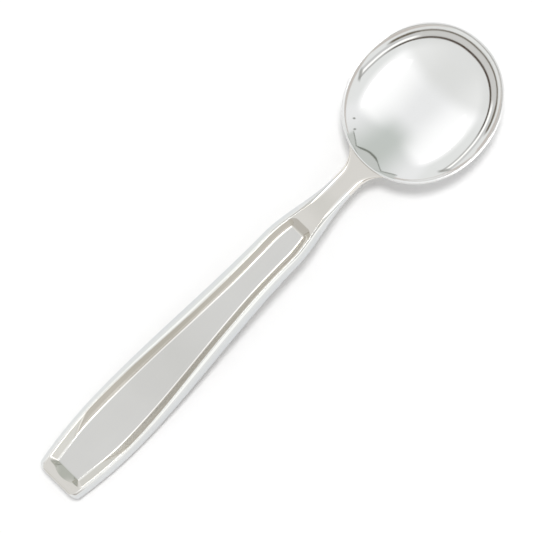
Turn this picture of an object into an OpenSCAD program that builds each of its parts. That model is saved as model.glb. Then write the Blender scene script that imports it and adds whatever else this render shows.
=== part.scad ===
// Soup spoon with a hollow handle. A pressed bowl is brazed to a forged stem, the stem's tang
// is set in the handle, and the handle is two struck half shells closed over a filler.
// The spoon lies at rest on a table at z = 0, its length along X with the bowl at +X.
// The origin is on the table under the middle of the length.

/* [Spoon] */
// Overall length
spoon_l = 175; // [165:0.5:190]

/* [Bowl] */
// Length over the rim
bowl_l = 48.2; // [44:0.1:54]
// Width over the rim
bowl_w = 43.5; // [38:0.1:50]
// Height of the rim above the table
bowl_h = 10.8; // [9.5:0.1:13]
// Thickness of the wall at the rim
bowl_wall_t = 1; // [0.7:0.05:1.5]
// Thickness of the floor
bowl_floor_t = 1.3; // [0.8:0.05:2]
// Height of the rounding along the top of the rim
rim_round = 0.4; // [0.2:0.05:0.6]
// How far the deepest point lies behind the middle of the bowl
bowl_low_back = 3; // [0:0.1:5]

/* [Stem] */
// Length in sight from the mouth of the handle to the rim
stem_l = 22.3; // [18:0.1:26]
// Width at the narrowest place
neck_w = 7.2; // [5.5:0.1:9]
// Thickness at the narrowest place
neck_t = 4.2; // [3.2:0.1:5.5]
// Distance of the narrowest place from the rim
neck_back = 9.2; // [7:0.1:12]
// Span of the two wings that lie along the outside of the rim
wing_w = 18.4; // [14:0.1:24]
// Height of the wings at their tips
wing_t = 1.2; // [0.8:0.1:2]
// How far the drop runs down the back of the bowl below the wings
drop_h = 5.6; // [4:0.1:7]
// Length of the tang inside the handle
tang_l = 45; // [30:0.5:60]
// Width of the tang at the mouth
tang_w = 5; // [3:0.1:6]
// Width of the tang at its end
tang_tip_w = 3.4; // [2:0.1:4.5]
// Thickness of the tang
tang_t = 1.4; // [1:0.1:1.6]

/* [Handle] */
// Width across the end, before its corners are rounded
butt_w = 15.2; // [13:0.1:18]
// Width at the widest place
widest_w = 19.8; // [18:0.1:23]
// Distance of the widest place from the end
widest_at = 25.6; // [20:0.1:35]
// Width at the shoulders
shoulder_w = 13.7; // [12:0.1:16]
// Distance of the shoulders from the rim of the bowl
shoulder_back = 34.3; // [30:0.1:42]
// Height of the front shell above the seam
front_h = 2.9; // [2.6:0.05:3.4]
// Depth of the back shell below the seam
back_h = 2.6; // [2.4:0.05:3.4]
// Thickness of both shells
shell_t = 0.7; // [0.5:0.05:0.9]
// Radius of the two corners of the end
end_round = 1.4; // [0.8:0.1:2]
// Rounding of the edges of the end, seen from the side
end_break = 0.5; // [0.2:0.05:0.8]
// Length of the flat on the back that lies on the table
rest_l = 16; // [10:0.5:24]
// Height of the back above the table at the top of the arch
arch_h = 7.5; // [6:0.1:14]
// Distance of the top of the arch from the rim of the bowl
arch_back = 35; // [28:0.5:50]

/* [Border and panel] */
// Width of the border, from the outline up to its ridge
border_w = 2.05; // [1.5:0.05:2.6]
// Width of the wall from the ridge down to the panel
slope_w = 2.35; // [2:0.05:3]
// Depth of the panel below the ridge
panel_depth = 1.7; // [1.4:0.05:1.8]
// Plain land between the corners of the end and the wall
butt_land = 0.7; // [0.5:0.05:1.5]
// Plain land between the wall and the mouth of the handle
mouth_land = 2.6; // [1.5:0.1:5]

/* [Fits] */
// Gap that the braze fills between stem and bowl
braze_gap = 0.08; // [0.05:0.01:0.12]
// Gap round the filler, inside the shells and round the tang
filler_gap = 0.05; // [0.02:0.01:0.1]

/* [Hidden] */

// Places along the length
butt_x = -spoon_l / 2;
tip_x = spoon_l / 2;
heel_x = tip_x - bowl_l;
bowl_x = tip_x - bowl_l / 2;
neck_x = heel_x - neck_back;
shoulder_x = heel_x - shoulder_back;
arch_x = heel_x - arch_back;
mouth_x = heel_x - stem_l;
widest_x = butt_x + widest_at;
rest_x = butt_x + rest_l;
slope_butt_x = butt_x + end_round + butt_land;
panel_butt_x = slope_butt_x + slope_w;
slope_mouth_x = mouth_x - mouth_land;
panel_mouth_x = slope_mouth_x - slope_w;
tang_x = mouth_x - tang_l;

// Bowl: powers of the oval plan and of the dished wall, and the flat in the middle of the floor
oval_power = 2.08;
dish_power = 2;
dish_shares = [0.1, 0.2, 0.3, 0.4, 0.5, 0.6, 0.7, 0.8, 0.88, 0.95, 1];
flat_share = pow(dish_shares[0], dish_power);
rim_z = bowl_h - rim_round;
ring_points = 64;
// Across and up the rounded rim, from outside to inside
rim_shares = [[0.1, 0.65], [0.33, 1], [0.67, 1], [0.9, 0.65]];

// Sections: lines across an edge, the power of the border's bevel, and lines across the flat
edge_shares = [0, 0.05, 0.21, 0.53, 1];
bevel_power = 0.8;
flat_line_shares = [0.667, 0.333];
neck_front_share = 0.4;
back_round_share = 0.5;
// Height that the end face keeps, as a share of the full section
end_face_share = 0.8;
end_shares = [0, 0.06, 0.25, 0.6, 1];
// Stations along the wall at both ends of the panel, as shares of its width
wall_end_shares = [0.3, 0.6, 0.85, 1];
// Bounds of the wall's foot and top, as shares of the way out to the ridge
foot_most_share = 0.9;
top_least_share = 0.2;
top_most_share = 0.96;
// How much further the inside of the ridge lies than the inside of a flat, as a share of the sheet
ridge_share = 0.4;
// Inside of the end wall, and its lean
end_draft = 0.15;
inner_x = butt_x + end_round + 2 * end_draft;
handle_steps = 18;

// Flare of the stem into the wings and the drop
flare_x = neck_x + neck_back / 3;
flare_shares = [0.12, 0.25, 0.38, 0.52, 0.66, 0.8, 0.91, 1];
seat_shares = [0.35, 0.7, 0.97];
seat_core_share = 0.9;
wing_lean_share = 0.4;
neck_steps = 7;
tang_steps = 10;

function mix(a, b, t) = a + (b - a) * t;
function within(t) = min(1, max(0, t));
function ease(t) = let (u = within(t)) u * u * (3 - 2 * u);
function spread(a, b, steps) = [for (i = [0:steps]) mix(a, b, i / steps)];
function power_of(v, p) = sign(v) * pow(abs(v), p);
function square(v) = v * v;
function unit(v) = v / norm(v);
function reversed(list) = [for (i = [len(list) - 1:-1:0]) list[i]];

// Side view: the back of the handle rises from the table to the arch and falls to the bowl
function neck_share(x) = ease((x - slope_mouth_x) / (neck_x - slope_mouth_x));
function front_rise(x) = mix(front_h, neck_t * neck_front_share, neck_share(x));
function back_drop(x) = mix(back_h, neck_t * (1 - neck_front_share), neck_share(x));
function back_z(x) =
    x < arch_x
        ? arch_h * ease((x - rest_x) / (arch_x - rest_x))
        : mix(arch_h, rim_z - neck_t, ease((x - arch_x) / (heel_x - arch_x + neck_back)));
function seam_z(x) = back_z(x) + back_drop(x);

// Plan view: half the width, with the corners of the end rounded off
function end_share(x, r) = let (d = within((x - butt_x) / r)) sqrt(1 - square(1 - d));
function plan_w(x) =
    x < widest_x
        ? mix(widest_w, butt_w, square((widest_x - x) / widest_at))
        : x < shoulder_x
            ? mix(widest_w, shoulder_w, ease((x - widest_x) / (shoulder_x - widest_x)))
            : mix(shoulder_w, neck_w, ease((x - shoulder_x) / (neck_x - shoulder_x)));
function half_w(x) = plan_w(x) / 2 - end_round * (1 - end_share(x, end_round));
function end_height_share(x) = mix(end_face_share, 1, end_share(x, end_break));
function ridge_y(x) = half_w(x) - border_w;

// Panel and its wall: a point past the end of the panel lies on a wall that turns round the corner
function panel_x(x) = min(panel_mouth_x, max(panel_butt_x, x));
function panel_y(x) = ridge_y(panel_x(x)) - slope_w;
function panel_share(x) = 1 - min(1, abs(x - panel_x(x)) / slope_w);
function foot_y(x) = min(panel_y(x), ridge_y(x) * foot_most_share);
function wall_top_y(x) =
    let (
        foot = foot_y(x),
        ridge = ridge_y(x),
        top = panel_y(x) + slope_w * sqrt(1 - square(1 - panel_share(x)))
    )
    min(mix(foot, ridge, top_most_share), max(mix(foot, ridge, top_least_share), top));

// One row of [y, z] across a section, left to right: edge, wall and flat. The edge goes from a
// straight bevel to a quarter round.
function edge_rise(s, roundness) = mix(pow(s, bevel_power), sqrt(1 - square(1 - s)), roundness);
function half_row(half, edge, roundness, rise, top, foot, sunk) = concat(
    [for (s = edge_shares) [half - edge * s, rise * edge_rise(s, roundness)]],
    [[top, rise], [foot, rise - sunk]],
    [for (s = flat_line_shares) [foot * s, rise - sunk]]
);
function row(half, edge, roundness, rise, top, foot, sunk) =
    let (right = half_row(half, edge, roundness, rise, top, foot, sunk))
    concat([for (p = right) [-p[0], p[1]]], [[0, rise - sunk]], reversed(right));
function round_row(half, edge, rise) =
    row(half, edge, 1, rise, (half - edge) * top_most_share, (half - edge) * foot_most_share, 0);

// Rows of the handle and the stem, drawn in by t from the outer skin
function front_row(x, t) =
    let (
        extra = t * ridge_share,
        rise = (front_rise(x) - t - extra) * end_height_share(x),
        foot = foot_y(x) + extra * panel_share(x),
        sunk = (panel_depth - extra) * panel_share(x)
    )
    row(half_w(x) - t, border_w - t, neck_share(x), rise, wall_top_y(x), foot, sunk);
function back_row(x, t) =
    let (half = half_w(x) - t, drop = (back_drop(x) - t) * end_height_share(x))
    round_row(half, half * back_round_share, -drop);
function level_row(row) = [for (p = row) [p[0], 0]];
function tang_row(x, gap, up) =
    let (
        half = mix(tang_w, tang_tip_w, (mouth_x - x) / tang_l) / 2 + gap,
        edge = tang_t / 2 + gap
    )
    round_row(half, edge, up * edge);
function tang_z(x) = back_z(x) + (back_drop(x) + front_rise(x) - panel_depth) / 2;

// Loops of points round a section: the upper row, then the lower row back to the start
function place(row, x, z) = [for (p = row) [x, p[0], z + p[1]]];
function closed_loop(upper, lower, x, z) =
    concat(place(upper, x, z), place([for (i = [len(lower) - 2:-1:1]) lower[i]], x, z));
function body_loop(x, t) = closed_loop(front_row(x, t), back_row(x, t), x, seam_z(x));
function tang_loop(x, gap) = closed_loop(tang_row(x, gap, 1), tang_row(x, gap, -1), x, tang_z(x));
function shell_loop(outer, inner, x) =
    let (skin = x < inner_x ? level_row(inner) : inner)
    concat(place(outer, x, seam_z(x)), place(reversed(skin), x, seam_z(x)));

// Rings of the bowl, and the point on its outer wall at a given side offset and height
function dish(s) = (pow(s, dish_power) - flat_share) / (1 - flat_share);
function ring_x(s) = bowl_x - bowl_low_back * (1 - s);
function ring(s, inset, z) = [
    for (i = [0:ring_points - 1])
        let (a = -360 * i / ring_points)
        [
            ring_x(s) + s * (bowl_l / 2 - inset) * power_of(cos(a), 2 / oval_power),
            s * (bowl_w / 2 - inset) * power_of(sin(a), 2 / oval_power),
            z
        ]
];
function on_bowl(y, z) =
    let (
        s = pow(mix(flat_share, 1, z / rim_z), 1 / dish_power),
        across = abs(y) / (s * bowl_w / 2 + braze_gap)
    )
    [
        ring_x(s) - (s * bowl_l / 2 + braze_gap) * pow(1 - pow(across, oval_power), 1 / oval_power),
        y,
        z
    ];

// Seat of the stem on the bowl, as [y, z]: along the rim above and round the drop below
function seat_row(row, upper) = [
    for (p = row)
        let (s = p[0] / row[len(row) - 1][0], up = upper ? p[1] / row[len(row) / 2 - 0.5][1] : 0)
        [s * wing_w / 2, rim_z - wing_t * (1 - up) - (upper ? 0 : drop_h * square(1 - s * s))]
];
function seat_loop(upper, lower) =
    concat(upper, [for (i = [len(lower) - 2:-1:1]) lower[i]]);

// Smooth path from a point of the neck to its point on the seat
function path(a, b, leave, meet, t) =
    a * (1 + 2 * t) * square(1 - t) + leave * t * square(1 - t)
    + b * t * t * (3 - 2 * t) - meet * t * t * (1 - t);
function meet_way(y, z, is_lower) =
    let (
        s = y / (wing_w / 2),
        wing = [mix(1, wing_lean_share, abs(s)), s * sqrt(1 - square(wing_lean_share)), 0],
        down = unit(on_bowl(y, z - rim_round) - on_bowl(y, z))
    )
    is_lower ? mix(down, wing, s * s) : wing;

// A solid from loops of points, the upper row of each joined to its lower row at both ends of the
// solid. Where shared, the two rows meet at the sides. All diagonals lean the same way on both sides
// of the middle, so that one skin lies evenly inside another.
module loft(loops, shared) {
    n = len(loops[0]);
    last = n * (len(loops) - 1);
    spans = shared ? n / 2 : n / 2 - 1;
    function below(j) = shared ? (n - j) % n : n - 1 - j;
    function halves(a, b, c, d) = concat(b == c ? [] : [[a, b, c]], c == d ? [] : [[a, c, d]]);
    function side(a, b, is_right) =
        is_right ? [[a, b + n, a + n], [a, b, b + n]] : [[a, b, a + n], [b, b + n, a + n]];
    function cap(j) =
        j < spans / 2
            ? halves(j + 1, below(j + 1), below(j), j)
            : halves(j, j + 1, below(j + 1), below(j));
    sides = [
        for (k = [0:len(loops) - 2], j = [0:n - 1])
            let (next = (j + 1) % n, is_right = abs(loops[k][j][1]) < abs(loops[k][next][1]))
            each side(k * n + j, k * n + next, is_right)
    ];
    caps = [for (j = [0:spans - 1]) each cap(j)];
    first_cap = [for (f = caps) reversed(f)];
    last_cap = [for (f = caps) [for (i = f) i + last]];
    polyhedron([for (loop = loops) each loop], concat(sides, first_cap, last_cap), convexity = 8);
}

// Stations along the handle
end_xs = [for (s = end_shares) butt_x + end_round * s];
panel_xs = concat(
    [for (s = reversed(wall_end_shares)) panel_butt_x - slope_w * s],
    spread(panel_butt_x, panel_mouth_x, handle_steps),
    [for (s = wall_end_shares) panel_mouth_x + slope_w * s]
);
shell_xs = concat(end_xs, [inner_x - end_draft, inner_x], panel_xs, [mouth_x]);
filler_xs = concat([inner_x + filler_gap], panel_xs, [mouth_x - filler_gap]);

// Dished bowl with a full rim, pressed from sheet
module bowl() {
    outside = [for (s = dish_shares) ring(s, 0, rim_z * dish(s))];
    rim = [for (r = rim_shares) ring(1, bowl_wall_t * r[0], rim_z + rim_round * r[1])];
    inside = [for (s = reversed(dish_shares)) ring(s, bowl_wall_t, mix(bowl_floor_t, rim_z, dish(s)))];
    color("silver") loft(concat(outside, rim, inside), true);
}

// Forged stem: tang, neck, and the wings and drop that are brazed to the back of the bowl
module stem() {
    upper = seat_row(front_row(flare_x, 0), true);
    lower = seat_row(back_row(flare_x, 0), false);
    seat = seat_loop(upper, lower);
    core = [for (p = (upper + lower) / 2) [p[0] * seat_core_share, p[1]]];
    middle = seat_loop(core, core);
    start = body_loop(flare_x, 0);
    ahead = body_loop(neck_x, 0);
    tang = [for (x = spread(tang_x, mouth_x, tang_steps)) tang_loop(x, 0)];
    neck = [for (x = spread(mouth_x, flare_x, neck_steps)) body_loop(x, 0)];
    flare = [
        for (t = flare_shares) [
            for (j = [0:len(seat) - 1])
                let (
                    goal = on_bowl(seat[j][0], seat[j][1]),
                    reach = norm(goal - start[j]),
                    leave = unit(start[j] - ahead[j]) * reach,
                    meet = meet_way(seat[j][0], seat[j][1], j >= len(upper)) * reach
                )
                path(start[j], goal, leave, meet, t)
        ]
    ];
    face = [
        for (t = seat_shares)
            [for (j = [0:len(seat) - 1]) let (p = mix(seat[j], middle[j], t)) on_bowl(p[0], p[1])]
    ];
    color("silver") loft(concat(tang, neck, flare, face), true);
}

// Struck front shell with the ridged border and the sunk panel
module handle_front() {
    loops = [for (x = shell_xs) shell_loop(front_row(x, 0), front_row(x, shell_t), x)];
    color("silver") loft(loops, false);
}

// Plain back shell, flat along the middle, soldered to the front along the seam
module handle_back() {
    loops = [
        for (x = shell_xs) shell_loop(reversed(back_row(x, 0)), reversed(back_row(x, shell_t)), x)
    ];
    color("gainsboro") loft(loops, false);
}

// Filler that backs the shells and holds the tang in its pocket
module handle_filler() {
    outside = [for (x = filler_xs) body_loop(x, shell_t + filler_gap)];
    pocket = [
        for (x = spread(mouth_x - filler_gap, tang_x - filler_gap, tang_steps)) tang_loop(x, filler_gap)
    ];
    color("dimgray") loft(concat(outside, pocket), true);
}

bowl();
stem();
handle_front();
handle_back();
handle_filler();
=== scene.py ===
import math

import bpy
import numpy as np
from mathutils import Matrix, Vector


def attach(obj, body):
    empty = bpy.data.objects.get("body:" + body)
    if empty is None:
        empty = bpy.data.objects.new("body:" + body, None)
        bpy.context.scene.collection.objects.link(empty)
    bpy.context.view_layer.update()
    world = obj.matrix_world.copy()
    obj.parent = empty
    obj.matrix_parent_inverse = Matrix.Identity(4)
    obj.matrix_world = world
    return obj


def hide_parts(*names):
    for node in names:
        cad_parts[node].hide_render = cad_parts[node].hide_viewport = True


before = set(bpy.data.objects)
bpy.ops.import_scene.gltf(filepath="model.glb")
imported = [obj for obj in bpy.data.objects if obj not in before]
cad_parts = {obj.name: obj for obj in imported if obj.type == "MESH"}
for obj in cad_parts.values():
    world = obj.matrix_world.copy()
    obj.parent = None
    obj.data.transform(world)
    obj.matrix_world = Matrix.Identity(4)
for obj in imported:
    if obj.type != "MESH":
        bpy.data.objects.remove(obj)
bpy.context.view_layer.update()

# Bowl: a dish pressed from silver sheet, its rim dressed round and running unbroken in front of the
# stem. It is buffed to a mirror, which leaves faint rub marks round the dish and a few tiny pits.
MM = 0.001
spoon_l = 175.0
bowl_l = 48.2
bowl_w = 43.5
bowl_h = 10.8
bowl_wall_t = 1.0
bowl_floor_t = 1.3
bowl_low_back = 3.0
rim_round = 0.4
oval_power = 2.08
dish_power = 2.0
dish_flat = 0.1
tip_x = spoon_l / 2
heel_x = tip_x - bowl_l
bowl_x = tip_x - bowl_l / 2
rim_z = bowl_h - rim_round
flat = dish_flat ** dish_power
ring_points = 240
wall_rings = 68
rim_rings = 15
crease = math.radians(50)


def ring_x(share):
    return bowl_x - bowl_low_back * (1 - share)


def oval_ring(share, inset, z):
    turn = -np.linspace(0, 2 * np.pi, ring_points, endpoint=False)
    along = np.sign(np.cos(turn)) * np.abs(np.cos(turn)) ** (2 / oval_power)
    beside = np.sign(np.sin(turn)) * np.abs(np.sin(turn)) ** (2 / oval_power)
    return np.column_stack([
        ring_x(share) + share * (bowl_l / 2 - inset) * along,
        share * (bowl_w / 2 - inset) * beside,
        np.full(len(turn), z),
    ])


def outer_ring(share):
    return oval_ring(share, 0, rim_z * max(0.0, share ** dish_power - flat) / (1 - flat))


def inner_ring(share):
    depth = rim_z - bowl_floor_t
    return oval_ring(share, bowl_wall_t, bowl_floor_t + depth * share ** dish_power)


def solid(name, points, faces, *finishes):
    mesh = bpy.data.meshes.new(name)
    mesh.from_pydata((np.asarray(points) * MM).tolist(), [], faces)
    mesh.validate()
    mesh.shade_smooth()
    mesh.set_sharp_from_angle(angle=crease)
    for finish in finishes:
        mesh.materials.append(finish)
    piece = bpy.data.objects.new(name, mesh)
    bpy.context.scene.collection.objects.link(piece)
    return piece


def faces_between(loops):
    """Four-sided faces from each closed loop of points to the next."""
    rows, n = loops.shape[:2]
    k, j = np.meshgrid(np.arange(rows - 1), np.arange(n), indexing="ij")
    a = (k * n + j).ravel()
    b = (k * n + (j + 1) % n).ravel()
    return np.column_stack([a, a + n, b + n, b]).tolist()


def loft(name, loops, finish):
    """Skins a row of point loops. The first and last loops are closed towards their middles."""
    loops = np.array(loops)
    rows, n = loops.shape[:2]
    first, last = rows * n, rows * n + 1
    end = (rows - 1) * n
    points = np.vstack([loops.reshape(-1, 3), loops[0].mean(0), loops[-1].mean(0)])
    faces = faces_between(loops)
    faces += [[first, i, (i + 1) % n] for i in range(n)]
    faces += [[last, end + (i + 1) % n, end + i] for i in range(n)]
    return solid(name, points, faces, finish)


def polishing_marks():
    """Node group: buffing lines, soft haze and sparse pits, from a rub direction and a place."""
    pitted_above = 0.88
    pit_height = -6
    group = bpy.data.node_groups.new("polishing_marks", "ShaderNodeTree")
    for socket in ("Rub", "Place"):
        group.interface.new_socket(socket, in_out="INPUT", socket_type="NodeSocketVector")
    for socket in ("Haze", "Height"):
        group.interface.new_socket(socket, in_out="OUTPUT", socket_type="NodeSocketFloat")
    nodes, links = group.nodes, group.links
    given = nodes.new("NodeGroupInput")
    result = nodes.new("NodeGroupOutput")
    lines = nodes.new("ShaderNodeTexNoise")
    lines.inputs["Scale"].default_value = 1
    lines.inputs["Detail"].default_value = 4
    lines.inputs["Roughness"].default_value = 0.65
    links.new(given.outputs["Rub"], lines.inputs["Vector"])
    cloud = nodes.new("ShaderNodeTexNoise")
    cloud.inputs["Scale"].default_value = 75
    cloud.inputs["Detail"].default_value = 5
    cloud.inputs["Distortion"].default_value = 0.4
    links.new(given.outputs["Place"], cloud.inputs["Vector"])
    haze = nodes.new("ShaderNodeMapRange")
    haze.inputs["From Min"].default_value = 0.32
    haze.inputs["From Max"].default_value = 0.72
    links.new(cloud.outputs["Fac"], haze.inputs["Value"])
    cells = nodes.new("ShaderNodeTexVoronoi")
    cells.inputs["Scale"].default_value = 170
    links.new(given.outputs["Place"], cells.inputs["Vector"])
    pit = nodes.new("ShaderNodeMapRange")
    pit.inputs["From Min"].default_value = 0.035
    pit.inputs["From Max"].default_value = 0.015
    links.new(cells.outputs["Distance"], pit.inputs["Value"])
    cell_tone = nodes.new("ShaderNodeSeparateColor")
    links.new(cells.outputs["Color"], cell_tone.inputs["Color"])
    chosen = nodes.new("ShaderNodeMath")
    chosen.operation = "GREATER_THAN"
    chosen.inputs[1].default_value = pitted_above
    links.new(cell_tone.outputs["Red"], chosen.inputs[0])
    pits = nodes.new("ShaderNodeMath")
    pits.operation = "MULTIPLY"
    links.new(pit.outputs["Result"], pits.inputs[0])
    links.new(chosen.outputs[0], pits.inputs[1])
    height = nodes.new("ShaderNodeMath")
    height.operation = "MULTIPLY_ADD"
    height.inputs[1].default_value = pit_height
    links.new(pits.outputs[0], height.inputs[0])
    links.new(lines.outputs["Fac"], height.inputs[2])
    links.new(haze.outputs["Result"], result.inputs["Haze"])
    links.new(height.outputs[0], result.inputs["Height"])
    return group


polish = polishing_marks()
# A Mix node has sockets of several kinds, and these are the places of its colours
mix_under, mix_over, mix_result = 6, 7, 2


def silver(name, bright, dull, smooth, rough, line_depth):
    """Material of polished silver, its marks, whose Rub is still to be linked, and its place."""
    material = bpy.data.materials.new(name)
    material.use_nodes = True
    nodes, links = material.node_tree.nodes, material.node_tree.links
    shader = nodes["Principled BSDF"]
    shader.inputs["Metallic"].default_value = 1
    marks = nodes.new("ShaderNodeGroup")
    marks.node_tree = polish
    place = nodes.new("ShaderNodeTexCoord")
    links.new(place.outputs["Object"], marks.inputs["Place"])
    tone = nodes.new("ShaderNodeMix")
    tone.data_type = "RGBA"
    tone.inputs[mix_under].default_value = (*bright, 1)
    tone.inputs[mix_over].default_value = (*dull, 1)
    links.new(marks.outputs["Haze"], tone.inputs["Factor"])
    links.new(tone.outputs[mix_result], shader.inputs["Base Color"])
    gloss = nodes.new("ShaderNodeMapRange")
    gloss.inputs["To Min"].default_value = smooth
    gloss.inputs["To Max"].default_value = rough
    links.new(marks.outputs["Haze"], gloss.inputs["Value"])
    links.new(gloss.outputs["Result"], shader.inputs["Roughness"])
    bump = nodes.new("ShaderNodeBump")
    bump.inputs["Strength"].default_value = 1
    bump.inputs["Distance"].default_value = line_depth
    links.new(marks.outputs["Height"], bump.inputs["Height"])
    links.new(bump.outputs["Normal"], shader.inputs["Normal"])
    return material, marks, place


buff_depth = 4e-7
bowl_silver, marks, place = silver(
    "bowl_silver", bright=(0.945, 0.945, 0.94), dull=(0.925, 0.925, 0.915),
    smooth=0.025, rough=0.05, line_depth=buff_depth,
)
# The rub marks run round the dish: coarse by bearing, fine by radius
rub_by_bearing = 9
rub_by_radius = 3500
nodes, links = bowl_silver.node_tree.nodes, bowl_silver.node_tree.links
off_centre = nodes.new("ShaderNodeVectorMath")
off_centre.operation = "SUBTRACT"
off_centre.inputs[1].default_value = (bowl_x * MM, 0, 0)
links.new(place.outputs["Object"], off_centre.inputs[0])
sides = nodes.new("ShaderNodeSeparateXYZ")
links.new(off_centre.outputs["Vector"], sides.inputs[0])
bearing = nodes.new("ShaderNodeMath")
bearing.operation = "ARCTAN2"
links.new(sides.outputs["Y"], bearing.inputs[0])
links.new(sides.outputs["X"], bearing.inputs[1])
radius = nodes.new("ShaderNodeVectorMath")
radius.operation = "LENGTH"
links.new(off_centre.outputs["Vector"], radius.inputs[0])
round_rub = nodes.new("ShaderNodeCombineXYZ")
for socket, value, scale in (
    ("X", bearing.outputs[0], rub_by_bearing),
    ("Y", radius.outputs["Value"], rub_by_radius),
):
    stretched = nodes.new("ShaderNodeMath")
    stretched.operation = "MULTIPLY"
    stretched.inputs[1].default_value = scale
    links.new(value, stretched.inputs[0])
    links.new(stretched.outputs[0], round_rub.inputs[socket])
links.new(round_rub.outputs["Vector"], marks.inputs["Rub"])

# Both walls of the dish end at the half-round of the rim
smallest_ring = 0.02
outer_end = 0.995
inner_end = 1.0212
outside = [outer_ring(s) for s in np.linspace(smallest_ring, outer_end, wall_rings)]
inside = [inner_ring(s) for s in np.linspace(inner_end, smallest_ring, wall_rings)]
rim_middle = (outside[-1] + inside[0]) / 2
over = outside[-1] - rim_middle
level = np.linalg.norm(over[:, :2], axis=1)[:, None]
upward = np.hstack([over[:, :2] / level * -over[:, 2:], level])
rim = [
    rim_middle + over * math.cos(t) + upward * math.sin(t)
    for t in np.linspace(0, np.pi, rim_rings)[1:-1]
]
bowl = loft("spoon_bowl", outside + rim + inside, bowl_silver)
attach(bowl, "root")
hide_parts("bowl")

# Stem: a silver forging with the tang, the neck, two wings along the outside of the rim and the
# drop behind the bowl. It is brazed to the bowl and filed flush with the mouth of the handle, whose
# form runs on into the neck.
stem_l = 22.3
neck_w = 7.2
neck_t = 4.2
neck_back = 9.2
neck_front = 0.4
wing_w = 18.4
wing_t = 1.2
wing_lean = 0.4
drop_h = 5.6
braze_gap = 0.08
tang_l = 45.0
tang_w = 5.0
tang_tip_w = 3.4
tang_t = 1.4
butt_w = 15.2
widest_w = 19.8
widest_at = 25.6
shoulder_w = 13.7
shoulder_back = 34.3
front_h = 3.3
back_h = 2.6
back_round = 0.5
end_round = 1.4
end_break = 0.5
end_face = 0.8
rest_l = 16.0
arch_h = 7.5
arch_back = 35.0
panel_depth = 2.1
butt_land = 0.7
mouth_land = 2.6
butt_x = -spoon_l / 2
neck_x = heel_x - neck_back
shoulder_x = heel_x - shoulder_back
arch_x = heel_x - arch_back
mouth_x = heel_x - stem_l
widest_x = butt_x + widest_at
rest_x = butt_x + rest_l
recess_butt_x = butt_x + end_round + butt_land
recess_mouth_x = mouth_x - mouth_land
tang_x = mouth_x - tang_l
flare_x = neck_x + neck_back / 3
hair = 1e-6


def mix(a, b, t):
    return a + (b - a) * t


def ease(t):
    u = np.clip(t, 0, 1)
    return u * u * (3 - 2 * u)


def neck_share(x):
    return ease((x - recess_mouth_x) / (neck_x - recess_mouth_x))


def end_share(x, r):
    return math.sqrt(1 - (1 - min(1.0, max(0.0, (x - butt_x) / r))) ** 2)


def end_height(x):
    return mix(end_face, 1, end_share(x, end_break))


def front_rise(x):
    return mix(front_h, neck_t * neck_front, neck_share(x))


def back_drop(x):
    return mix(back_h, neck_t * (1 - neck_front), neck_share(x))


def back_z(x):
    if x < arch_x:
        return arch_h * ease((x - rest_x) / (arch_x - rest_x))
    return mix(arch_h, rim_z - neck_t, ease((x - arch_x) / (heel_x - arch_x + neck_back)))


def seam_z(x):
    return back_z(x) + back_drop(x)


def plan_w(x):
    if x < widest_x:
        return mix(widest_w, butt_w, ((widest_x - x) / widest_at) ** 2)
    if x < shoulder_x:
        return mix(widest_w, shoulder_w, ease((x - widest_x) / (shoulder_x - widest_x)))
    return mix(shoulder_w, neck_w, ease((x - shoulder_x) / (neck_x - shoulder_x)))


def half_w(x):
    return plan_w(x) / 2 - end_round * (1 - end_share(x, end_round))


# The border has a bowed bevel and varies in width along the handle, by a swell in the middle, a
# gain from the butt and a loss towards the neck
border_butt_w = 1.75
border_gain, border_gain_x, border_gain_l = 0.63, -74, 52
border_loss, border_loss_x, border_loss_l = 0.33, -14, 22
swell_w, swell_x, swell_l = 0.25, -32, 16
bevel_inner = 0.84
bevel_bow = 4
# The ridge between the bevel and the wall is worn round, less so on the neck and on its flat top
ridge_wear = 0.36
neck_wear = 0.02
top_wear = 0.04
# The wall of the sunk panel is widest near the butt. Along the sides it is steep, at the butt it
# leans back, and from wall_full_x to wall_turn_x more and more of its upper part does. The hollow
# fillet at its foot sharpens towards the butt
wall_least_w = 2.38
wall_extra_w, wall_extra_x, wall_extra_l = 0.42, -67, 28
side_lean = math.radians(49.5)
butt_lean = math.radians(34)
corner_lean = math.radians(49)
mouth_lean = math.radians(44)
wall_full_x = -66.5
wall_turn_x = -74.5
wall_steep_h = 1.15
wall_blend = 0.06
fillet, fillet_butt, fillet_x, fillet_l = 1.0, 0.06, -79, 9


def hump(x, middle, reach):
    return math.exp(-(((x - middle) / reach) ** 2))


def border_swell(x):
    return swell_w * hump(x, swell_x, swell_l)


def wall_w(x):
    return wall_least_w + wall_extra_w * hump(x, wall_extra_x, wall_extra_l) - border_swell(x)


def border_at(x):
    gain = border_gain * ease((x - border_gain_x) / border_gain_l)
    loss = border_loss * ease((x - border_loss_x) / border_loss_l)
    return border_butt_w + gain - loss + border_swell(x)


def foot_round(x):
    return mix(fillet_butt, fillet, ease((x - fillet_x) / fillet_l))


def wall_rise(d, lean, hollow):
    foot = hollow * np.sin(lean)
    curve = hollow - np.sqrt(hollow ** 2 - np.clip(d, 0, foot) ** 2)
    return curve + np.maximum(d - foot, 0) * np.tan(lean)


def soft_min(a, b, k):
    h = np.maximum(k - np.abs(a - b), 0) / k
    return np.minimum(a, b) - h * h * k / 4


def panel_wall(x, d, steep, leaned_back=butt_lean):
    """Height of the wall above the panel. Towards the butt its upper part leans back."""
    steep_h = wall_steep_h * max((x - wall_turn_x) / (wall_full_x - wall_turn_x), 0)
    hollow = foot_round(x)
    upper = wall_rise(d, leaned_back, hollow) + steep_h
    return soft_min(wall_rise(d, steep, hollow), upper, wall_blend)


panel_butt_x = recess_butt_x + wall_w(recess_butt_x)
panel_mouth_x = recess_mouth_x - wall_w(recess_mouth_x)


def within_panel(x):
    return min(max(x, panel_butt_x), panel_mouth_x)


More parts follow.
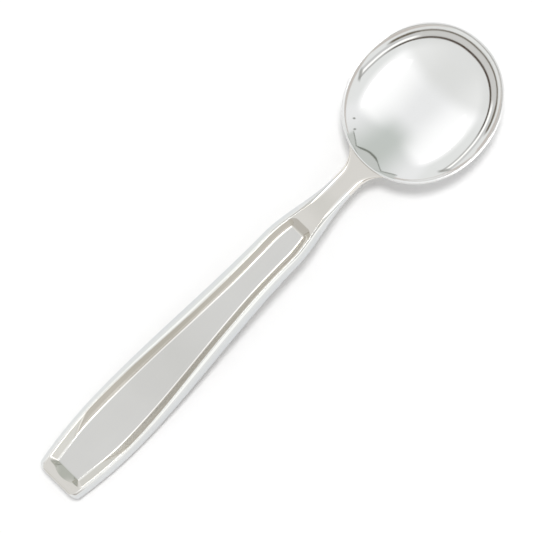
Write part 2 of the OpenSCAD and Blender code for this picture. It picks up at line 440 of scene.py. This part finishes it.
def panel_half(x):
    return half_w(x) - border_at(x) - wall_w(x)


def front_z(x, y):
    """Height of the front above the seam: the lower of the bevel and the panel with its wall."""
    rise = front_rise(x) * end_height(x)
    rounded = neck_share(x)
    u = (half_w(x) - np.abs(y)) / border_at(x)
    up = np.clip(u, 0, 1)
    straight = bevel_inner * border_at(x) / rise
    bowed = straight * u + (1 - straight) * (1 - (1 - up) ** bevel_bow)
    bevel = mix(bowed, np.sqrt(1 - (1 - up) ** 2), rounded)
    end_x = within_panel(x)
    d = np.hypot(np.maximum(np.abs(y) - panel_half(end_x), 0), x - end_x)
    steep, leaned_back = side_lean, butt_lean
    if x > end_x:
        steep = mix(side_lean, mouth_lean, ((x - end_x) / d) ** 2)
    if x < end_x:
        to_corner = np.minimum(np.abs(y) / panel_half(end_x), 1)
        leaned_back = mix(butt_lean, corner_lean, (to_corner * (end_x - x) / d) ** 2)
    sunk = rise - panel_wall(end_x, wall_w(end_x), side_lean)
    wall = sunk + panel_wall(end_x, d, steep, leaned_back)
    ridge = soft_min(rise * bevel, wall, mix(ridge_wear, neck_wear, rounded))
    return soft_min(ridge, rise, top_wear)


# Where the points of a half row lie on the bevel, on the wall and on the flat, and how near to the
# ridge the foot of the wall may come
edge_shares = np.array([
    0, 0.004, 0.012, 0.025, 0.045, 0.075, 0.12, 0.18, 0.26, 0.35,
    0.45, 0.55, 0.65, 0.74, 0.82, 0.88, 0.92, 0.95, 0.975, 1,
])
wall_shares = np.concatenate([
    [0.012, 0.025, 0.04, 0.06, 0.085, 0.12, 0.17, 0.23], np.linspace(0.3, 1, 26)
])
flat_shares = np.linspace(1, 0, 9)[1:]
half_points = len(edge_shares) + len(wall_shares) + len(flat_shares)
back_flat_points = 12
foot_most = 0.9


def both_sides(y, z):
    half = np.column_stack([y, z])
    return np.vstack([half * [-1, 1], half[::-1][1:]])


def front_row(x):
    half = half_w(x)
    ridge = half - border_at(x)
    foot = min(panel_half(within_panel(x)), ridge * foot_most)
    y = np.concatenate([
        mix(half, ridge, edge_shares), mix(ridge, foot, wall_shares), foot * flat_shares
    ])
    return both_sides(y, front_z(x, y))


def round_row(half, edge, rise):
    turn = np.linspace(0, np.pi / 2, half_points - back_flat_points)
    y = np.concatenate([
        half - edge * (1 - np.cos(turn)),
        (half - edge) * np.linspace(1, 0, back_flat_points + 1)[1:],
    ])
    return both_sides(y, np.concatenate([rise * np.sin(turn), np.full(back_flat_points, rise)]))


def back_row(x):
    return round_row(half_w(x), half_w(x) * back_round, -back_drop(x) * end_height(x))


def tang_row(x, up):
    half = mix(tang_w, tang_tip_w, (mouth_x - x) / tang_l) / 2
    return round_row(half, tang_t / 2, up * tang_t / 2)


def at(x, row, z):
    return np.column_stack([np.full(len(row), x), row[:, 0], row[:, 1] + z])


def closed_loop(x, upper, lower, z):
    return np.vstack([at(x, upper, z), at(x, lower[::-1], z)[1:-1]])


def body_loop(x):
    return closed_loop(x, front_row(x), back_row(x), seam_z(x))


def tang_loop(x):
    z = back_z(x) + (back_drop(x) + front_rise(x) - panel_depth) / 2
    return closed_loop(x, tang_row(x, 1), tang_row(x, -1), z)


def on_bowl(y, z):
    """Points on the outside of the bowl, a braze gap away from it."""
    share = np.maximum(mix(flat, 1, z / rim_z), hair) ** (1 / dish_power)
    aside = np.minimum(np.abs(y) / (share * bowl_w / 2 + braze_gap), 1)
    back = (share * bowl_l / 2 + braze_gap) * (1 - aside ** oval_power) ** (1 / oval_power)
    return np.column_stack([ring_x(share) - back, y, z])


def seat_row(row, upper):
    s = row[:, 0] / row[-1, 0]
    up = row[:, 1] / row[len(row) // 2, 1] if upper else 0
    z = rim_z - wing_t * (1 - up) - (0 if upper else drop_h * (1 - s * s) ** 2)
    return np.column_stack([s * wing_w / 2, z])


def length(v):
    return np.linalg.norm(v, axis=1)[:, None]


# The flare sweeps from the neck to its seat on the bowl, and leaves and meets them without a kink
core_w = 0.9
face_shares = (0.35, 0.7, 0.97)
tang_rows = 10
neck_rows = 60
flare_rows = 37
upper_seat = seat_row(front_row(flare_x), True)
lower_seat = seat_row(back_row(flare_x), False)
seat = np.vstack([upper_seat, lower_seat[::-1][1:-1]])
core = (upper_seat + lower_seat) / 2 * [core_w, 1]
core = np.vstack([core, core[::-1][1:-1]])
start = body_loop(flare_x)
ahead = start - body_loop(neck_x)
goal = on_bowl(seat[:, 0], seat[:, 1])
reach = length(goal - start)
leave = ahead / length(ahead) * reach
s = seat[:, 0] / (wing_w / 2)
wing = np.column_stack([mix(1, wing_lean, np.abs(s)), s * math.sqrt(1 - wing_lean ** 2), 0 * s])
down = on_bowl(seat[:, 0], seat[:, 1] - rim_round) - goal
is_lower = (np.arange(len(seat)) >= len(upper_seat))[:, None]
meet = np.where(is_lower, mix(down / length(down), wing, (s * s)[:, None]), wing) * reach
flare = [
    start * (1 + 2 * t) * (1 - t) ** 2 + leave * t * (1 - t) ** 2
    + goal * t * t * (3 - 2 * t) - meet * t * t * (1 - t)
    for t in np.linspace(0, 1, flare_rows)[1:]
]
face = [on_bowl(*mix(seat, core, t).T) for t in face_shares]
tang = [tang_loop(x) for x in np.linspace(tang_x, mouth_x, tang_rows)]
neck = [body_loop(x) for x in np.linspace(mouth_x, flare_x, neck_rows)]

# Marks of the painted shade and highlight, as shares of the way from the seam to the foot of the
# panel's wall
bevel_mark = 0.8
ridge_mark = 0.85


def seam_shade_and_foot_highlight():
    """Node group: paints shade and highlight into buffed metal by the way from the seam over bevel
    and ridge to the foot. It is darker and cooler at the seam, with a painted highlight at the
    foot.
    """
    group = bpy.data.node_groups.new("seam_shade_and_foot_highlight", "ShaderNodeTree")
    group.interface.new_socket("From Seam", in_out="INPUT", socket_type="NodeSocketFloat")
    for socket in ("Buffed", "Seam Shade", "Bevel", "Inside", "Foot Highlight"):
        group.interface.new_socket(socket, in_out="INPUT", socket_type="NodeSocketColor")
    group.interface.new_socket("Painted", in_out="OUTPUT", socket_type="NodeSocketColor")
    nodes, links = group.nodes, group.links
    given = nodes.new("NodeGroupInput")
    result = nodes.new("NodeGroupOutput")
    tint = given.outputs["Seam Shade"]
    for low, high, socket in (
        (0, bevel_mark, "Bevel"), (bevel_mark, ridge_mark, "Inside"), (ridge_mark, 1, "Foot Highlight")
    ):
        share = nodes.new("ShaderNodeMapRange")
        share.inputs["From Min"].default_value = low
        share.inputs["From Max"].default_value = high
        links.new(given.outputs["From Seam"], share.inputs["Value"])
        blend = nodes.new("ShaderNodeMix")
        blend.data_type = "RGBA"
        links.new(share.outputs["Result"], blend.inputs["Factor"])
        links.new(tint, blend.inputs[mix_under])
        links.new(given.outputs[socket], blend.inputs[mix_over])
        tint = blend.outputs[mix_result]
    painted_tone = nodes.new("ShaderNodeMix")
    painted_tone.data_type = "RGBA"
    painted_tone.blend_type = "MULTIPLY"
    painted_tone.inputs["Factor"].default_value = 1
    links.new(given.outputs["Buffed"], painted_tone.inputs[mix_under])
    links.new(tint, painted_tone.inputs[mix_over])
    links.new(painted_tone.outputs[mix_result], result.inputs["Painted"])
    return group


seam_shade_group = seam_shade_and_foot_highlight()


def paint_seam_shade(material, edge, bevel, inside, foot):
    """Places the painted seam shade and foot highlight between the material's own colour and its
    shader.
    """
    nodes, links = material.node_tree.nodes, material.node_tree.links
    shader = nodes["Principled BSDF"]
    painted_tone = nodes.new("ShaderNodeGroup")
    painted_tone.node_tree = seam_shade_group
    links.new(shader.inputs["Base Color"].links[0].from_socket, painted_tone.inputs["Buffed"])
    mark = nodes.new("ShaderNodeAttribute")
    mark.attribute_name = "from_seam"
    links.new(mark.outputs["Fac"], painted_tone.inputs["From Seam"])
    tints = {"Seam Shade": edge, "Bevel": bevel, "Inside": inside, "Foot Highlight": foot}
    for socket, tint in tints.items():
        painted_tone.inputs[socket].default_value = (*tint, 1)
    links.new(painted_tone.outputs["Painted"], shader.inputs["Base Color"])


# Stores each point's share of the way from the seam. This share sets how much painted shade or
# highlight the point gets.
def mark_seam_shade(piece, share):
    marked = piece.data.attributes.new("from_seam", "FLOAT", "POINT")
    for spot, mark in zip(piece.data.vertices, marked.data):
        x, y, _ = spot.co / MM
        mark.value = min(1, max(0, share(x, y)))


def rub_along(material, marks, place, scale):
    """Runs the polishing marks along the spoon."""
    stretch = material.node_tree.nodes.new("ShaderNodeVectorMath")
    stretch.operation = "MULTIPLY"
    stretch.inputs[1].default_value = scale
    material.node_tree.links.new(place.outputs["Object"], stretch.inputs[0])
    material.node_tree.links.new(stretch.outputs["Vector"], marks.inputs["Rub"])


buff_rub = (160, 3500, 3500)
buff_smooth = 0.04
buff_rough = 0.075
untinted = (1, 1, 1)
stem_silver, marks, place = silver(
    "stem_silver", bright=(0.785, 0.76, 0.715), dull=(0.765, 0.74, 0.693),
    smooth=buff_smooth, rough=buff_rough, line_depth=buff_depth,
)
rub_along(stem_silver, marks, place, buff_rub)
# Painted shade: the neck's bevel is tinted darker and cooler towards the seam, and a little
# brighter and cooler near its ridge.
paint_seam_shade(
    stem_silver, edge=(0.87, 0.925, 1), bevel=(1, 1.03, 1.06), inside=untinted, foot=untinted
)
stem = loft("spoon_stem", tang + neck + flare + face, stem_silver)
mark_seam_shade(stem, lambda x, y: (half_w(x) - abs(y)) / border_at(x) if x < neck_x else 1)
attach(stem, "root")
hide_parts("stem")

# Handle filler: dark cement poured into the hollow handle, which sets hard round the tang and backs
# the thin shells. It is a dull, gritty solid that no outside view shows.
cement = bpy.data.materials.new("handle_cement")
cement.use_nodes = True
nodes, links = cement.node_tree.nodes, cement.node_tree.links
shader = nodes["Principled BSDF"]
place = nodes.new("ShaderNodeTexCoord")
grit = nodes.new("ShaderNodeTexVoronoi")
grit.inputs["Scale"].default_value = 1500
links.new(place.outputs["Object"], grit.inputs["Vector"])
stain = nodes.new("ShaderNodeTexNoise")
stain.inputs["Scale"].default_value = 220
stain.inputs["Detail"].default_value = 6
links.new(place.outputs["Object"], stain.inputs["Vector"])
tone = nodes.new("ShaderNodeValToRGB")
tone.color_ramp.elements[0].position = 0.3
tone.color_ramp.elements[0].color = (0.17, 0.155, 0.145, 1)
tone.color_ramp.elements[1].position = 0.75
tone.color_ramp.elements[1].color = (0.27, 0.245, 0.23, 1)
links.new(stain.outputs["Fac"], tone.inputs["Fac"])
links.new(tone.outputs["Color"], shader.inputs["Base Color"])
dull = nodes.new("ShaderNodeMapRange")
dull.inputs["To Min"].default_value = 0.75
dull.inputs["To Max"].default_value = 0.95
links.new(stain.outputs["Fac"], dull.inputs["Value"])
links.new(dull.outputs["Result"], shader.inputs["Roughness"])
bump = nodes.new("ShaderNodeBump")
bump.inputs["Distance"].default_value = 0.0001
links.new(grit.outputs["Distance"], bump.inputs["Height"])
links.new(bump.outputs["Normal"], shader.inputs["Normal"])
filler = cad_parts["handle_filler"]
filler.data.materials.clear()
filler.data.materials.append(cement)

# Handle back: a plain half shell struck from silver sheet, flat along the middle of its back. It is
# soldered to the front shell along the seam, and the seam is filed and buffed away.
shell_t = 0.7
end_draft = 0.15
recess_lead = 0.3
mouth_lap = 0.1
inner_x = butt_x + end_round + 2 * end_draft
# Rows along the shells, closest at the broken edge, at the ends of the panel and at the mouth
shell_xs = np.concatenate([
    butt_x + end_break * (1 - np.cos(np.linspace(0, np.pi / 2, 9)))[:-1],
    np.linspace(butt_x + end_break, butt_x + end_round, 8)[:-1],
    [butt_x + end_round, inner_x - end_draft, inner_x],
    np.linspace(recess_butt_x - recess_lead, panel_butt_x, 40)[:-1],
    np.linspace(panel_butt_x, panel_mouth_x, 110),
    np.linspace(panel_mouth_x, mouth_x - mouth_lap, 50)[1:],
    [mouth_x - mouth_lap / 2, mouth_x],
])


def inner_back_row(x):
    half = half_w(x) - shell_t
    return round_row(half, half * back_round, -(back_drop(x) - shell_t) * end_height(x))


def half_shell(name, outer_row, inner_row, *finishes):
    """A closed shell between two skins. Its end at the butt is solid, and its mouth is open."""
    loops = []
    for x in shell_xs:
        inner = inner_row(x)[::-1]
        if x < inner_x - hair:
            inner = inner * [1, 0]
        loops.append(np.vstack([at(x, outer_row(x), seam_z(x)), at(x, inner, seam_z(x))]))
    loops = np.array(loops)
    rows, n = loops.shape[:2]
    caps = [[i, i + 1, n - 2 - i, n - 1 - i] for i in range(n // 2 - 1)]
    faces = faces_between(loops) + caps
    faces += [[(rows - 1) * n + i for i in cap[::-1]] for cap in caps]
    return solid(name, loops.reshape(-1, 3), faces, *finishes)


handle_bright = (0.8, 0.789, 0.765)
handle_dull = (0.78, 0.767, 0.742)
handle_silver, marks, place = silver(
    "handle_silver", bright=handle_bright, dull=handle_dull,
    smooth=buff_smooth, rough=buff_rough, line_depth=buff_depth,
)
rub_along(handle_silver, marks, place, buff_rub)
handle_back = half_shell(
    "handle_back_shell",
    lambda x: back_row(x)[::-1],
    lambda x: inner_back_row(x)[::-1],
    handle_silver,
)
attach(handle_back, "root")
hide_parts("handle_back")

# Handle front: the half shell struck with the ridged border and the long sunk panel. The border is
# buffed bright, with painted shade that makes it darker and cooler towards the seam and a painted
# highlight at the foot of the panel's wall. The panel keeps a fine satin grain from the die.
border_w = 2.05
panel_w = 2.35
ridge_extra = 0.4
inner_bow = 0.8
satin_rub = (900, 5000, 5000)
satin_depth = 9e-7
satin_margin = 0.12
satin_slot = 1


def inner_front_row(x):
    extra = shell_t * ridge_extra
    end_x = min(max(x, recess_butt_x + panel_w), recess_mouth_x - panel_w)
    sunk = 1 - min(1.0, abs(x - end_x) / panel_w)
    rise = (front_rise(x) - shell_t - extra) * end_height(x)
    half = half_w(x) - shell_t
    ridge = half_w(x) - border_w
    foot = min(half_w(end_x) - border_w - panel_w, ridge * foot_most) + extra * sunk
    bevel = mix(edge_shares ** inner_bow, np.sqrt(1 - (1 - edge_shares) ** 2), neck_share(x))
    depth = (panel_depth - extra) * sunk
    y = np.concatenate([
        half - (border_w - shell_t) * edge_shares, mix(ridge, foot, wall_shares), foot * flat_shares
    ])
    z = np.concatenate([
        rise * bevel, rise - depth * wall_shares, np.full(len(flat_shares), rise - depth)
    ])
    return both_sides(y, z)


panel_satin, marks, place = silver(
    "panel_satin", bright=(0.752, 0.745, 0.723), dull=(0.732, 0.725, 0.702),
    smooth=0.15, rough=0.21, line_depth=satin_depth,
)
rub_along(panel_satin, marks, place, satin_rub)
border_silver, marks, place = silver(
    "border_silver", bright=handle_bright, dull=handle_dull,
    smooth=buff_smooth, rough=buff_rough, line_depth=buff_depth,
)
rub_along(border_silver, marks, place, buff_rub)
# Painted shade and highlight: the bevel is tinted darker and cooler towards the seam, and the wall
# a little darker and warmer. The strip at the wall's foot is brightened by a quarter as a painted
# highlight.
paint_seam_shade(
    border_silver, edge=(0.8, 0.84, 0.885), bevel=(1, 1.015, 1.015),
    inside=(0.985, 0.97, 0.94), foot=(1.25, 1.25, 1.25),
)
handle_front = half_shell(
    "handle_front_shell", front_row, inner_front_row, border_silver, panel_satin
)
# How far inside the ridge the wall's painted tint begins, the strip at its foot that gets the
# painted highlight with the fade above it, and the most that the land at the butt counts for in the
# painted shade
ridge_in = 0.1
foot_strip = 0.35
foot_fade = 0.4
butt_shade = 0.5


# Share of the way from the seam for each point of the front shell. It picks the point's painted
# tint: shade over the bevel, the wall's tint, or the painted highlight at the wall's foot.
def border_shade_share(x, y):
    if recess_butt_x < x < recess_mouth_x and abs(y) < half_w(x) - border_at(x) - ridge_in:
        if not panel_butt_x < x < panel_mouth_x:
            return ridge_mark
        up_wall = abs(y) - panel_half(x)
        return mix(1, ridge_mark, min(1, max(0, up_wall - foot_strip) / foot_fade))
    on_end = abs(y) < panel_half(panel_butt_x)
    from_end = min(butt_shade, (x - butt_x) / border_w) if on_end else 0
    return min(ridge_mark, bevel_mark * max((half_w(x) - abs(y)) / border_at(x), from_end))


mark_seam_shade(handle_front, border_shade_share)
for facet in handle_front.data.polygons:
    x, y, _ = facet.center / MM
    is_panel = panel_butt_x < x < panel_mouth_x and abs(y) < panel_half(x) + satin_margin
    if is_panel and facet.normal.z > 0:
        facet.material_index = satin_slot
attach(handle_front, "root")
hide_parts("handle_front")

# Table: a plain board painted a dull white, on which the spoon lies. It reaches far enough for
# every view, and lies a hair lower than the spoon so that the two share no face. Both sizes are in
# metres.
table_reach = 3
table_low = 0.00005
table_mesh = bpy.data.meshes.new("white_table")
table_mesh.from_pydata(
    [(x * table_reach, y * table_reach, 0) for x, y in ((-1, -1), (1, -1), (1, 1), (-1, 1))],
    [],
    [(0, 1, 2, 3)],
)
table = bpy.data.objects.new("white_table", table_mesh)
table.location.z = -table_low
bpy.context.scene.collection.objects.link(table)
white_paint = bpy.data.materials.new("white_paint")
white_paint.use_nodes = True
shader = white_paint.node_tree.nodes["Principled BSDF"]
shader.inputs["Base Color"].default_value = (0.97, 0.97, 0.97, 1)
shader.inputs["Roughness"].default_value = 0.9
shader.inputs["Specular IOR Level"].default_value = 0
table_mesh.materials.append(white_paint)

# Studio: a white tent with a long soft box on each side of the spoon, a greyer wall beyond the bowl
# and the dark hoop of the tent's opening low behind the handle. The metal mirrors all of it.
world = bpy.data.worlds.new("studio")
bpy.context.scene.world = world
world.use_nodes = True
nodes, links = world.node_tree.nodes, world.node_tree.links


def value_of(operation, *inputs):
    node = nodes.new("ShaderNodeMath")
    node.operation = operation
    for socket, v in zip(node.inputs, inputs):
        if isinstance(v, (int, float)):
            socket.default_value = v
        else:
            links.new(v, socket)
    return node.outputs[0]


def scaled(mask, share):
    return value_of("MULTIPLY", mask, share)


def graded(mask, least, extra):
    return value_of("ADD", scaled(mask, extra), least)


def away(value, middle):
    return value_of("ABSOLUTE", value_of("SUBTRACT", value, middle))


def times(*masks):
    out = masks[0]
    for mask in masks[1:]:
        out = value_of("MULTIPLY", out, mask)
    return out


def step(value, low, high):
    """0 at low, 1 at high and smooth between them, whichever of the two is larger."""
    node = nodes.new("ShaderNodeMapRange")
    node.interpolation_type = "SMOOTHSTEP"
    links.new(value, node.inputs["Value"])
    node.inputs["From Min"].default_value = low
    node.inputs["From Max"].default_value = high
    return node.outputs["Result"]


def band(value, low, high, soft):
    return times(step(value, low - soft, low + soft), step(value, high + soft, high - soft))


def line(distance, half_width, soft):
    return step(value_of("SUBTRACT", distance, half_width), soft, -soft)


def paint(mask, under, colour):
    node = nodes.new("ShaderNodeMix")
    node.data_type = "RGBA"
    links.new(mask, node.inputs["Factor"])
    for socket, v in ((node.inputs[mix_under], under), (node.inputs[mix_over], colour)):
        if isinstance(v, tuple):
            socket.default_value = (*v, 1)
        else:
            links.new(v, socket)
    return node.outputs[mix_result]


# Every place in the sky is in degrees off the zenith, laid out flat along the spoon and across it
tent_middle = 4.5
least_sine = 0.0001
direction = nodes.new("ShaderNodeTexCoord")
parts = nodes.new("ShaderNodeSeparateXYZ")
links.new(direction.outputs["Generated"], parts.inputs[0])
off_zenith = value_of("ARCCOSINE", parts.outputs["Z"])
sine = value_of("MAXIMUM", value_of("SINE", off_zenith), least_sine)
spread = value_of("MULTIPLY", value_of("DIVIDE", off_zenith, sine), math.degrees(1))
along = value_of("MULTIPLY", parts.outputs["X"], spread)
beside = value_of("MULTIPLY", parts.outputs["Y"], spread)
aside = away(beside, tent_middle)


def distance_from(x, y):
    """Degrees from a place in the sky, and the cosine of the bearing from there."""
    dx = value_of("SUBTRACT", along, x)
    dy = value_of("SUBTRACT", beside, y)
    out = value_of("SQRT", value_of("ADD", times(dx, dx), times(dy, dy)))
    return out, value_of("DIVIDE", dx, out)


# The tent, pale overhead, duller towards the handle and grey beyond the bowl
dull_cloth = (0.765, 0.772, 0.765)
pale_cloth = (0.862, 0.868, 0.875)
low_cloth = (0.8, 0.812, 0.806)
grey_wall = (0.56, 0.592, 0.568)
dull_to_pale = (-31, -15)
pale_to_low = (54, 66)
wall_along = (14, 54)
wall_aside = (52, 4)
tent = paint(step(along, *dull_to_pale), dull_cloth, pale_cloth)
tent = paint(step(aside, *pale_to_low), tent, low_cloth)
tent = paint(times(step(along, *wall_along), step(aside, *wall_aside)), tent, grey_wall)

# The soft boxes, each with its spill, its glow, its bright core and a corner cut off towards the
# handle. Their inner edges lean a little, and their outer ones are round
box_centre = (12, 4)
boxes_between = 3
box_lean = 0.1
corner_slope = 0.96
corner_at = (-66, -61)
box_end = (60, 54)
spill_aside, spill_round, spill_end = (4, 52), (69, 62), (60, 42)
spill_fade, spill_least, spill_extra = (-30, -14), 0.17, 0.33
spill_light = (1.3, 1.3, 1.3)
glow_inner, glow_outer, glow_light = (44.5, 57), (64.5, 60.5), (2.4, 2.4, 2.4)
core_inner, core_outer, core_light = (51, 57), (63.5, 60), (6, 6, 6)
box_out, _ = distance_from(*box_centre)
from_between = away(beside, boxes_between)
spill = times(
    step(aside, *spill_aside), step(box_out, *spill_round), step(along, *spill_end),
    graded(step(along, *spill_fade), spill_least, spill_extra),
)
tent = paint(spill, tent, spill_light)
inner = value_of("SUBTRACT", aside, scaled(along, box_lean))
corner = value_of("SUBTRACT", along, scaled(from_between, corner_slope))
cut = times(step(corner, *corner_at), step(along, *box_end))
glow = times(step(inner, *glow_inner), step(box_out, *glow_outer), cut)
tent = paint(glow, tent, glow_light)
bright_core = times(step(inner, *core_inner), step(box_out, *core_outer), cut)
tent = paint(bright_core, tent, core_light)

# The tent's opening: beyond it lies pale ground with a brown hem all round, and on the sides the
# white sweep of the table. The hem's ring has another centre beside the bowl than behind the handle
hoop_centre = (17, 5.3)
side_centre = (5, 5.75)
side_from = (2, 9)
ground_at, ground = (79, 81), (0.8, 0.81, 0.8)
hem_at, hem_aside, hem_brown = (80.8, 81.4), (20, 40), (0.57, 0.53, 0.5)
sweep_at, sweep_along, sweep_white = (82.6, 83.4), (-21, 60, 1.5), (1.3, 1.3, 1.29)
far_sweep_at, far_sweep_white = (90, 93), (1, 1, 0.99)
hoop_out, hoop_turn = distance_from(*hoop_centre)
tent = paint(step(hoop_out, *ground_at), tent, ground)
side_out, _ = distance_from(*side_centre)
to_side = times(value_of("SUBTRACT", side_out, hoop_out), step(along, *side_from))
hem_out = value_of("ADD", hoop_out, to_side)
hem = times(step(hem_out, *hem_at), step(aside, *hem_aside))
tent = paint(hem, tent, hem_brown)
sweep = times(step(hem_out, *sweep_at), band(along, *sweep_along))
tent = paint(sweep, tent, sweep_white)
tent = paint(times(sweep, step(hoop_out, *far_sweep_at)), tent, far_sweep_white)

# Straight behind the handle, the dim room beyond the opening and the grey lining of the hoop
behind_at = (-0.5, -0.75)
room_at, room_dim = (84, 86), (0.6, 0.59, 0.57)
lining_at, lining_grey = (75, 78.6, 0.4), (0.62, 0.615, 0.6)
behind = step(hoop_turn, *behind_at)
tent = paint(times(step(hoop_out, *room_at), behind), tent, room_dim)
tent = paint(times(band(hoop_out, *lining_at), behind), tent, lining_grey)

# The arms of the hoop, a grey and a white strip on each side. One arm reaches further round
arm_shift, arm_sides = 0.13, (-10, 10)
arm_from, arm_to = (-0.75, -0.62), (0.15, 0)
grey_strip_at, strip_grey = (76.6, 78.3, 0.5), (0.6, 0.6, 0.6)
white_strip_at, strip_white = (75.4, 76.6, 0.3), (1.15, 1.15, 1.12)
arm_turn = value_of("SUBTRACT", hoop_turn, scaled(step(beside, *arm_sides), arm_shift))
arms = times(step(hoop_turn, *arm_from), step(arm_turn, *arm_to))
tent = paint(times(band(hoop_out, *grey_strip_at), arms), tent, strip_grey)
tent = paint(times(band(hoop_out, *white_strip_at), arms), tent, strip_white)

# The thin outer edge of the opening, which thickens before it ends at the sides
edge_r, edge_soft, edge_dark = 79, 0.3, (0.16, 0.14, 0.11)
edge_half, edge_extra, thick_from, edge_to = 0.45, 0.25, (-0.75, -0.6), (-0.3, -0.42)
edge_ends = step(hoop_turn, *edge_to)
edge_half_w = graded(times(step(hoop_turn, *thick_from), edge_ends), edge_half, edge_extra)
edge = times(line(away(hoop_out, edge_r), edge_half_w, edge_soft), edge_ends)
tent = paint(edge, tent, edge_dark)

# The dark hoop itself, thickest behind the handle and fainter along the arms, where a hook bends in
hoop_r, hoop_soft, hoop_dark = 74.6, 0.35, (0.08, 0.06, 0.045)
hoop_half, hoop_extra, hoop_thick, hoop_to = 0.55, 0.1, (-0.6, -0.95), (0.2, 0.1)
faint_from, faint_by = (-0.5, -0.2), -0.55
hook_bend, hook_at, hook_from, hook_to = 27, (77.3, 79.6, 0.6), (0, 0.07), (0.2, 0.13)
hook_share, hook_grey = 0.8, (0.3, 0.3, 0.28)
hoop_half_w = graded(step(hoop_turn, *hoop_thick), hoop_half, hoop_extra)
hoop = times(line(away(hoop_out, hoop_r), hoop_half_w, hoop_soft), step(arm_turn, *hoop_to))
faint = graded(step(hoop_turn, *faint_from), 1, faint_by)
tent = paint(times(hoop, faint), tent, hoop_dark)
hook_out = value_of("ADD", hoop_out, scaled(arm_turn, hook_bend))
hook = times(band(hook_out, *hook_at), step(arm_turn, *hook_from), step(arm_turn, *hook_to))
tent = paint(scaled(hook, hook_share), tent, hook_grey)

# The dark sill of the grey wall beyond the bowl, bowed in the middle and bent back at its ends
sill_middle, sill_r, sill_ends = 8, 79, (39, 34)
bow_extra, bow_at = 4, (2, 22)
bend_from, bend_slope = 20, 0.55
sill_half, sill_extra, sill_thick, sill_soft = 0.4, 0.6, (16, 8), 0.4
sill_from, sill_dark = (60, 68), (0.2, 0.215, 0.19)
beyond_at, beyond_grey = (-0.5, 0.5), (0.57, 0.59, 0.57)
sill_along = away(beside, sill_middle)
sill_bow = graded(step(sill_along, *bow_at), sill_r, bow_extra)
bend = value_of("MAXIMUM", value_of("SUBTRACT", sill_along, bend_from), 0)
sill_x = value_of("SUBTRACT", sill_bow, scaled(bend, bend_slope))
past_sill = value_of("SUBTRACT", along, sill_x)
on_wall = times(step(along, *sill_from), step(sill_along, *sill_ends))
tent = paint(times(step(past_sill, *beyond_at), on_wall), tent, beyond_grey)
sill_half_w = graded(step(from_between, *sill_thick), sill_half, sill_extra)
sill = line(value_of("ABSOLUTE", past_sill), sill_half_w, sill_soft)
tent = paint(times(sill, on_wall), tent, sill_dark)

# Two small clamps at the end of the sill
clamp_places = ((71.5, -30), (63, -41))
clamp_r, clamp_grey = (1.6, 0.8), (0.3, 0.31, 0.29)
for clamp_place in clamp_places:
    clamp_out, _ = distance_from(*clamp_place)
    tent = paint(step(clamp_out, *clamp_r), tent, clamp_grey)

# What is not mirrored gets an even light, and the camera sees plain white round the table
even_light = (0.62, 0.62, 0.62)
plain_white = (1.0, 1.0, 1.0)
path = nodes.new("ShaderNodeLightPath")
light = paint(path.outputs["Is Glossy Ray"], even_light, tent)
light = paint(path.outputs["Is Camera Ray"], light, plain_white)
links.new(light, nodes["Background"].inputs["Color"])

# Lamp: one large lamp overhead and a little beyond the bowl, which gives the spoon its soft shadow.
# The metal doesn't mirror it, since the tent has its own soft boxes.
lamp_lean = math.radians(13)
lamp = bpy.data.lights.new("overhead_lamp", "SUN")
lamp.energy = 1.45
lamp.angle = math.radians(14)
overhead = bpy.data.objects.new("overhead_lamp", lamp)
bpy.context.scene.collection.objects.link(overhead)
overhead.visible_glossy = False
shadow_way = Vector((-5.71, -2.71, 0)).normalized() * math.tan(lamp_lean)
overhead.rotation_mode = "QUATERNION"
overhead.rotation_quaternion = (shadow_way + Vector((0, 0, -1))).to_track_quat("-Z", "Y")

# Camera: nearly straight above, leaning a little to one side of the spoon, which runs from the
# lower left to the upper right of the picture.
frame_px = 533
mm_per_px = 0.28602
sensor_w = 36
view_d = 0.9
view_lean = math.radians(5.7)
spoon_turn = math.radians(45.897)
aim = Vector((-1.121, -0.346, 8)) * MM
camera_data = bpy.data.cameras.new("camera")
camera_data.sensor_width = sensor_w
camera_data.lens = sensor_w * view_d / (frame_px * mm_per_px * MM)
camera_data.clip_start = 0.01
camera_data.clip_end = 20
camera = bpy.data.objects.new("camera", camera_data)
bpy.context.scene.collection.objects.link(camera)
bpy.context.scene.camera = camera
back = Vector((0, -math.sin(view_lean), math.cos(view_lean)))
up = back.cross(Vector((math.cos(spoon_turn), -math.sin(spoon_turn), 0))).normalized()
right = up.cross(back)
camera.matrix_world = (
    Matrix.Translation(aim + back * view_d) @ Matrix((right, up, back)).transposed().to_4x4()
)

bpy.context.scene.view_settings.view_transform = "Standard"
bpy.context.view_layer.update()
